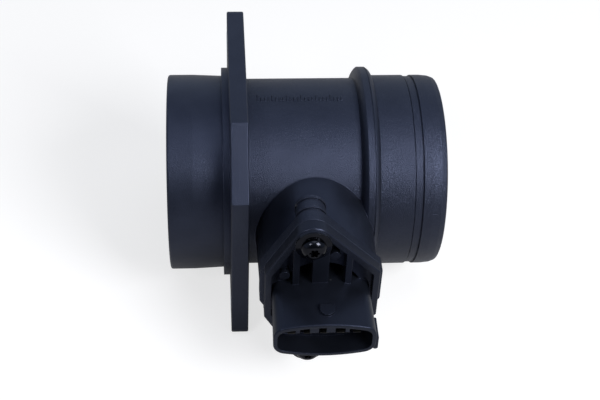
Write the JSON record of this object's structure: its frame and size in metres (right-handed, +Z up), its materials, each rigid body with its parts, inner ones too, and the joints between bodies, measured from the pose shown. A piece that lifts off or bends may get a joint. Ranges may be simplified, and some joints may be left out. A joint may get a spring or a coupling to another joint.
{
  "type": "mass airflow sensor",
  "caption": "Flanged round air duct with a plug-in hot-film flow sensor head, its probe across the duct and an electrical connector socket.",
  "frame": {"origin": "centre of the flange's mounting face, on the axis of the air duct", "axes": "+X along the air flow from the inlet spigot to the outlet spigot, -Y towards the electrical connector, +Z up"},
  "size_m": [0.1091, 0.1406, 0.0964],
  "materials": {
    "tube_plastic": "black glass-filled plastic with a fine spark-eroded grain",
    "head_plastic": "black glass-filled plastic, satin",
    "cover_plastic": "black plastic, satin",
    "grid_plastic": "black plastic, satin",
    "spring_steel": "spring steel",
    "bush_steel": "zinc-plated steel",
    "insert_brass": "turned brass",
    "screw_steel": "dark zinc-plated steel, shiny",
    "contact_metal": "tin-plated metal",
    "carrier_metal": "sheet aluminium",
    "board_ceramic": "white ceramic board",
    "chip_resin": "black moulded resin",
    "capacitor_ceramic": "tan ceramic with plated ends",
    "tongue_steel": "stamped sheet metal",
    "element_silicon": "polished silicon",
    "thermistor_resin": "resin-dipped bead on plated leads",
    "seal_rubber": "black rubber"
  },
  "bodies": {
    "root": {"flow_tube": "tube_plastic", "flow_grid": "grid_plastic", "snap_ring": "spring_steel", "flange_bush_upper": "bush_steel", "flange_bush_lower": "bush_steel", "threaded_insert_upper": "insert_brass", "threaded_insert_lower": "insert_brass", "sensor_housing": "head_plastic", "electronics_cover": "cover_plastic", "channel_cover": "cover_plastic", "carrier_plate": "carrier_metal", "circuit_board": "board_ceramic", "control_chip": "chip_resin", "chip_capacitors": "capacitor_ceramic", "element_tongue": "tongue_steel", "sensor_element": "element_silicon", "air_thermistor": "thermistor_resin", "plug_seal": "seal_rubber", "flange_screw_upper": "screw_steel", "flange_screw_lower": "screw_steel", "contact_1": "contact_metal", "contact_2": "contact_metal", "contact_3": "contact_metal", "contact_4": "contact_metal", "contact_5": "contact_metal"}
  },
  "joints": []
}
